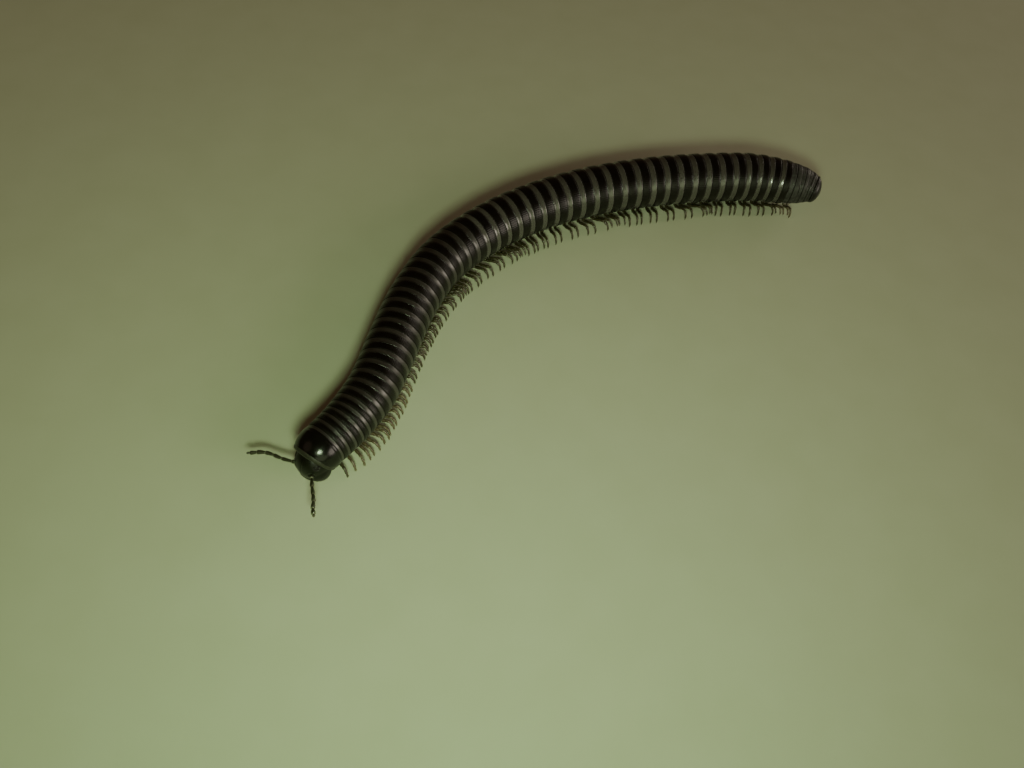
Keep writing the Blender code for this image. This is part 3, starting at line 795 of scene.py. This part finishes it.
# %% Finish of the head
# Capsule: smooth chitin, less tanned than the rings. It gives an olive black that warms towards the lips.
capsule_chitin = chitin("olive_head_chitin", "#090c05", "#12150b", 0.8, 0.3, 0.2, 0.004, 0.25)
# Mouth parts: chitin worn by feeding. It gives the lips a yellower, lighter olive than the brow.
lip_chitin = chitin("worn_lip_chitin", "#191b0e", "#272914", 0.5, 0.34, 0.15, 0.004, 0.3)
# The lips are all faces below the mouth's corners, and the lip plate in the middle
centres = local_points(HEAD_FRAME, np.array([head_points[list(face)].mean(0) for face in head_faces]))
worn = ((centres[:, 2] < -2.3) | ((centres[:, 2] < -1.9) & (np.abs(centres[:, 1]) < 0.9))).astype(int)
head = make_piece("head_capsule", head_points, head_faces, (capsule_chitin, lip_chitin), worn)
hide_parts("head")
print("head:", len(head_faces), "faces")

# %% [markdown]
# ## Eyes
#
# A millipede has no round eyeballs: on each side of the head lies a patch of simple eyes, the ocelli,
# small black domes in close rows. The patch is a low dome, and each ocellus is a small half ball set
# into it, on a grid of staggered rows cut to the patch's outline.

# %% Eyes
EYE_PLACE = (2.72, 1.36, 0.1)
EYE_TURN = math.radians(-42)
EYE_LEAN = math.radians(20)
EYE_HALF_SIZES = (0.5, 0.15, 0.4)
EYE_SINK = 0.03  # how deep the patch's dome sits in the head
OCELLUS_RADIUS = 0.062
OCELLUS_SINK = 0.01
COLUMN_STEP, ROW_STEP = 1.95, 1.75  # in radii of an ocellus
OCELLI_HALF_WIDTH, OCELLI_HALF_HEIGHT = 0.47, 0.37
LEAST_INSIDE = 0.05  # an ocellus stands only this far within the patch's outline
# Ocelli: clear chitin lenses over black pigment. They give a bead of light each.
ocellus_chitin = chitin("ocellus_lens_chitin", "#030303", "#0a0a09", 0.2, 0.07, 0.3, 0.0005)


def eye_frame(side):
    """Frame on an eye patch, with Y pointing out of the head."""
    place = Matrix.Translation(mirrored(EYE_PLACE, side))
    turn = Matrix.Rotation(side * EYE_TURN, 4, "Z") @ Matrix.Rotation(side * EYE_LEAN, 4, "X")
    return HEAD_FRAME @ place @ turn


for side, name in ((1, "eye_left"), (-1, "eye_right")):
    place = eye_frame(side)
    eggs = [(place, (0, -side * EYE_SINK, 0), EYE_HALF_SIZES, 0.0, 32)]
    for row in range(-3, 4):
        for column in range(-4, 5):
            u = (column + (row % 2) / 2) * OCELLUS_RADIUS * COLUMN_STEP
            w = row * OCELLUS_RADIUS * ROW_STEP
            inside = 1 - (u / OCELLI_HALF_WIDTH) ** 2 - (w / OCELLI_HALF_HEIGHT) ** 2
            if inside <= LEAST_INSIDE:
                continue
            bulge = side * (EYE_HALF_SIZES[1] * math.sqrt(inside) - EYE_SINK - OCELLUS_SINK)
            eggs.append((place, (u, bulge, w), (OCELLUS_RADIUS,) * 3, 0.0, 14))
    mesh = egg_mesh(eggs)
    points = [tuple(point.co) for point in mesh.vertices]
    faces = [tuple(face.vertices) for face in mesh.polygons]
    patch = make_piece(f"ocelli_{name[4:]}", points, faces, (ocellus_chitin,))
    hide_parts(name)
    print(name, len(eggs) - 1, "ocelli")

# %% [markdown]
# ## Antennae
#
# Each antenna has seven articles. They start narrow and widen towards the next joint like a row of
# small cups, and the last one ends in a small blunt tip. Short stiff hairs stand on them, which a hair
# system could grow, but thin cones placed by seeded numbers are easier to keep inside the model's
# outline.

# %% Antennae
# Points of the middle lines in the head's frame, from root to tip
ANTENNA_ROUTES = {
    "antenna_right": ((3.2, -1.2, -0.6), (3.7, -2.7, -0.7), (3.95, -3.95, -0.8), (4.35, -5.0, -0.9),
                      (5.35, -6.4, -1.2)),
    "antenna_left": ((3.3, 1.15, -0.65), (4.35, 2.3, -0.45), (5.27, 3.4, -0.2), (6.2, 4.25, 0.0),
                     (6.83, 5.03, 0.2)),
}
# The seven articles and the blunt tip: the share of the antenna that each takes, and its thickness
ANTENNA_ARTICLES = ((0.07, 0.95), (0.21, 0.92), (0.18, 0.95), (0.17, 0.98), (0.17, 1.05), (0.13, 1.02),
                    (0.05, 0.66), (0.02, 0.4))
ANTENNA_RADIUS = 0.225
BRISTLES = 150
BRISTLE_RADIUS = 0.009
BRISTLE_LENGTHS = (0.06, 0.12)
BRISTLE_OUT, BRISTLE_ONWARD = 0.6, 0.8  # how a bristle leans, out and towards the tip
BRISTLE_SINK = 0.01
FIRST_BARE_ROWS = 8  # no bristle stands in the socket
LAST_BARE_ROWS = 14  # or so near the tip that it would leave the outline
ANTENNA_SIDES = 20
# One article: places along it, and its width there
CUP = ((0.0, 0.6), (0.12, 0.68), (0.35, 0.84), (0.6, 0.98), (0.8, 1.02), (0.93, 0.94), (1.0, 0.6))
CUP_LENGTH = 0.999  # just under 1, so that no cup ends where the next one starts
# Antenna: thin satin chitin with pale skin in its joints. It gives dark brown beads with lighter seams.
antenna_chitin = limb_chitin("antenna_chitin", "#2a2c1c", "#363829", "#7c7e60", 0.3)


def cup_rows():
    """Places along an antenna and the radius at each: every article widens towards its end."""
    places, radii, start = [], [], 0.0
    for share, thickness in ANTENNA_ARTICLES:
        for part, width in CUP:
            places.append(start + part * share * CUP_LENGTH)
            radii.append(ANTENNA_RADIUS * thickness * width)
        start += share
    return np.array(places), np.array(radii)


def bristle(root, tip, radius):
    """Points and faces of a thin three-sided hair."""
    direction = (tip - root) / np.linalg.norm(tip - root)
    across = np.cross(direction, (0.3, 0.5, 0.8))
    across /= np.linalg.norm(across)
    up = np.cross(across, direction)
    turns = np.linspace(0, 2 * math.pi, 3, endpoint=False)[:, None]
    ring = root + radius * (np.cos(turns) * across + np.sin(turns) * up)
    return np.vstack((ring, tip)), [(0, 1, 3), (1, 2, 3), (2, 0, 3), (2, 1, 0)]


antenna_places, antenna_radii = cup_rows()
for name, route in ANTENNA_ROUTES.items():
    line = spline([HEAD_FRAME @ Vector(point) for point in route], 20)
    skin = limb(line, antenna_places, antenna_radii, ANTENNA_SIDES)
    faces = strip(len(antenna_places), ANTENNA_SIDES)
    uv = limb_skin(ANTENNA_ARTICLES, antenna_places, ANTENNA_SIDES)
    draw = random.Random(name)
    points = skin.copy()
    middles = skin.reshape(-1, ANTENNA_SIDES, 3).mean(1)
    for _ in range(BRISTLES):
        row = draw.randrange(FIRST_BARE_ROWS, len(middles) - LAST_BARE_ROWS)
        root = skin[row * ANTENNA_SIDES + draw.randrange(ANTENNA_SIDES)]
        out = (root - middles[row]) / np.linalg.norm(root - middles[row])
        onward = (middles[-1] - middles[-6]) / np.linalg.norm(middles[-1] - middles[-6])
        lean = out * BRISTLE_OUT + onward * BRISTLE_ONWARD
        tip = root + lean * draw.uniform(*BRISTLE_LENGTHS)
        hair, hair_faces = bristle(root - out * BRISTLE_SINK, tip, BRISTLE_RADIUS)
        faces += [tuple(len(points) + i for i in face) for face in hair_faces]
        points = np.vstack((points, hair))
        uv = np.vstack((uv, [(0.0, 0.9)] * len(hair)))
    antenna = make_piece(f"{name}_articles", points, faces, (antenna_chitin,), uv=uv)
    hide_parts(name)
    print(name, "with", len(faces), "faces")

# %% [markdown]
# ## Telson
#
# The tail ends in a short dome, the telson, that carries the two anal valves: bulging shutters that meet
# in an upright seam. A small scale closes them from below. The dome and the scale are fused, and the
# valves are separate, so that a dark seam is left between them and round them.

# %% Telson
TELSON_START = RING_STARTS[-1] + 0.3
TELSON_DOME = ((-0.55, 0, -0.1), (1.03, 1.82, 1.82))
TELSON_TILT = math.radians(8)
VALVE = ((-0.2, 0.48, -0.35), (0.68, 0.7, 1.3))
TAIL_SCALE = ((-0.3, 0, -1.5), (0.5, 0.75, 0.3))
DOME_SMOOTHING = 5
VALVE_VOXEL = 0.05
VALVE_SMOOTHING = 3
HALF_SEAM = 0.02  # each valve stays this far from the middle
VALVE_GROOVE = 0.14  # distance from the middle of the groove that raises the valve's lip
# Telson: the same black chitin as the rings, lightly pitted in place of grooves. It gives an even, dull
# black.
telson_chitin = chitin("pitted_tail_chitin", "#0c0c09", "#151511", 0.6, 0.34, 0.12, 0.006, 0.35)
# Valves: thinner chitin that lets some olive through. It gives a tone just lighter than the dome's.
valve_chitin = chitin("olive_valve_chitin", "#0d0e08", "#15160d", 0.5, 0.36, 0.12, 0.005, 0.3)
tail = axis_frame(TELSON_START)
tilted = tail @ Matrix.Rotation(TELSON_TILT, 4, "Y")
dome_points, _, dome_faces = fused([(tail, *TELSON_DOME), (tilted, *TAIL_SCALE)], VOXEL, DOME_SMOOTHING)
telson = make_piece("telson_dome", dome_points, dome_faces, (telson_chitin,))
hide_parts("telson")
for side, name in ((-1, "left"), (1, "right")):
    shutter = (tilted, mirrored(VALVE[0], side), VALVE[1])
    points, normals, faces = fused([shutter], VALVE_VOXEL, VALVE_SMOOTHING)
    x, y, z = local_points(tilted, points).T
    edge = side * y
    points = points - normals * groove(edge - VALVE_GROOVE, 0.05, 0.03)[:, None]
    keep_apart = np.maximum(0, HALF_SEAM - edge)[:, None] * side
    points = points + keep_apart * np.array(tilted)[:3, 1]
    valve = make_piece(f"anal_valve_{name}", points, faces, (valve_chitin,))
print("telson and valves:", len(dome_faces), "dome faces")

# %% [markdown]
# ## Floor, light and camera
#
# The model stands on a plain pale sheet of paper in a dim room. A small lamp close to the lens gives each
# plate its bright spot and keeps the shadow close behind the body. A disc lamp shines most strongly
# straight ahead, so two discs share the place, one level and one aimed down at the paper in front of the
# animal. A black, glossy body shows mostly what it mirrors, so soft panels on the right and in front, no
# higher than a window, lay a sheen along the lower flank and leave the back dark. A weak panel on the left
# lifts the shadows. A picture of a room could light the scene too, but panels are easier to place: each
# goes where the mirrored line of sight from one stretch of the flank ends. The camera looks down at the
# animal from in front.

# %% Floor
# Paper: uncoated, calendered stock. It gives an even, faintly green off-white with no gloss.
PAPER_FLOCKS = 6  # patches of fibre that differ hardly at all in tint
FLOOR_HALF = 600 * MM
paper, paper_tree, paper_shader = new_material("matt_pale_paper", 0.2)
paper_shader.inputs["Roughness"].default_value = 0.75
paper_place = add_node(paper_tree, "ShaderNodeTexCoord")
paper_noise = add_node(paper_tree, "ShaderNodeTexNoise", {"Scale": 1 / (PAPER_FLOCKS * MM), "Detail": 5.0},
                       {"Vector": paper_place.outputs["Object"]})
paper_tint = add_node(paper_tree, "ShaderNodeValToRGB",
                      {"stops": ((0.3, linear("#b5bba1")), (0.7, linear("#b8bea5")))},
                      {"Fac": paper_noise.outputs["Fac"]})
paper_tree.links.new(paper_tint.outputs["Color"], paper_shader.inputs["Base Color"])
floor_corners = [(x * FLOOR_HALF, y * FLOOR_HALF, 0) for x, y in ((-1, -1), (1, -1), (1, 1), (-1, 1))]
floor_mesh = bpy.data.meshes.new("floor")
floor_mesh.from_pydata(floor_corners, [], [(0, 1, 2, 3)])
floor_mesh.materials.append(paper)
floor = bpy.data.objects.new("floor", floor_mesh)
bpy.context.scene.collection.objects.link(floor)
print("floor:", round(2 * FLOOR_HALF / MM), "mm square")

# %% Light
# Room: dim and reddish, which gives the shadows and the far side of the back a warm brown.
world = bpy.data.worlds.new("dark_room")
world.use_nodes = True
world.node_tree.nodes["Background"].inputs["Color"].default_value = linear("#3e2a1d")
world.node_tree.nodes["Background"].inputs["Strength"].default_value = 1.1
bpy.context.scene.world = world


def soft_light(name, place, aim, width, height, power, colour):
    """A soft oval lamp at a place, turned towards a point. Sizes in millimetres, power in watts."""
    data = bpy.data.lights.new(name, "AREA")
    data.shape = "ELLIPSE"
    data.size = width * MM
    data.size_y = height * MM
    data.energy = power
    data.color = linear(colour)[:3]
    lamp = bpy.data.objects.new(name, data)
    lamp.location = Vector(place) * MM
    lamp.rotation_euler = (Vector(aim) - Vector(place)).to_track_quat("-Z", "Y").to_euler()
    bpy.context.scene.collection.objects.link(lamp)


LAMP_PLACE = (-2.6, -79.2, 70)
MIDDLE = (0, 0, 0)
# Lamp at the lens: its white is slightly green beside the warm room, which tints the paper
soft_light("lamp_by_the_lens", LAMP_PLACE, (-2.6, 20, 78), 19, 19, 0.055, "#f6ffde")
soft_light("lamp_by_the_lens_aimed_down", LAMP_PLACE, (-28, -60, 0), 19, 19, 0.038, "#c8ffb0")
# Panels on the right: the first for the stretch behind the head, the last for the middle of the body
soft_light("panel_behind_right", (1066, 960, 438), MIDDLE, 640, 760, 3.1, "#fff2de")
soft_light("panel_right", (1403, 298, 438), MIDDLE, 700, 760, 1.3, "#fff2de")
soft_light("panel_front_right", (1364, -443, 438), MIDDLE, 860, 760, 7.5, "#fff2de")
# Fill from the left, and the low panel for the rear half
soft_light("weak_panel_left", (-900, -300, 900), MIDDLE, 900, 900, 0.5, "#ffd8c0")
soft_light("low_panel_in_front", (500, -1300, 400), MIDDLE, 1500, 700, 3.0, "#ecffc4")

# %% Camera
# Place, tilt, roll and focal length, worked out from points of the animal in its picture
CAMERA_PLACE = (-6.72, -63.0, 77.8)
CAMERA_DOWN = math.radians(55.64)
CAMERA_ROLL = math.radians(6.244)
FOCAL_PIXELS = 780.2
PICTURE_WIDTH = 1024
SENSOR = 36.0
CLIP_START = 2 * MM
forward = Vector((0, math.cos(CAMERA_DOWN), -math.sin(CAMERA_DOWN)))
right = Vector((1, 0, 0))
up = Vector((0, math.sin(CAMERA_DOWN), math.cos(CAMERA_DOWN)))
rolled_right = right * math.cos(CAMERA_ROLL) + up * math.sin(CAMERA_ROLL)
rolled_up = up * math.cos(CAMERA_ROLL) - right * math.sin(CAMERA_ROLL)
camera_data = bpy.data.cameras.new("camera")
camera_data.sensor_width = SENSOR
camera_data.lens = SENSOR * FOCAL_PIXELS / PICTURE_WIDTH
camera_data.clip_start = CLIP_START
camera = bpy.data.objects.new("camera", camera_data)
turn = Matrix((rolled_right, rolled_up, -forward)).transposed().to_4x4()
camera.matrix_world = Matrix.Translation(Vector(CAMERA_PLACE) * MM) @ turn
bpy.context.scene.collection.objects.link(camera)
bpy.context.scene.camera = camera
print(f"camera: {camera_data.lens:.1f} mm lens on a {SENSOR:.0f} mm wide sensor")
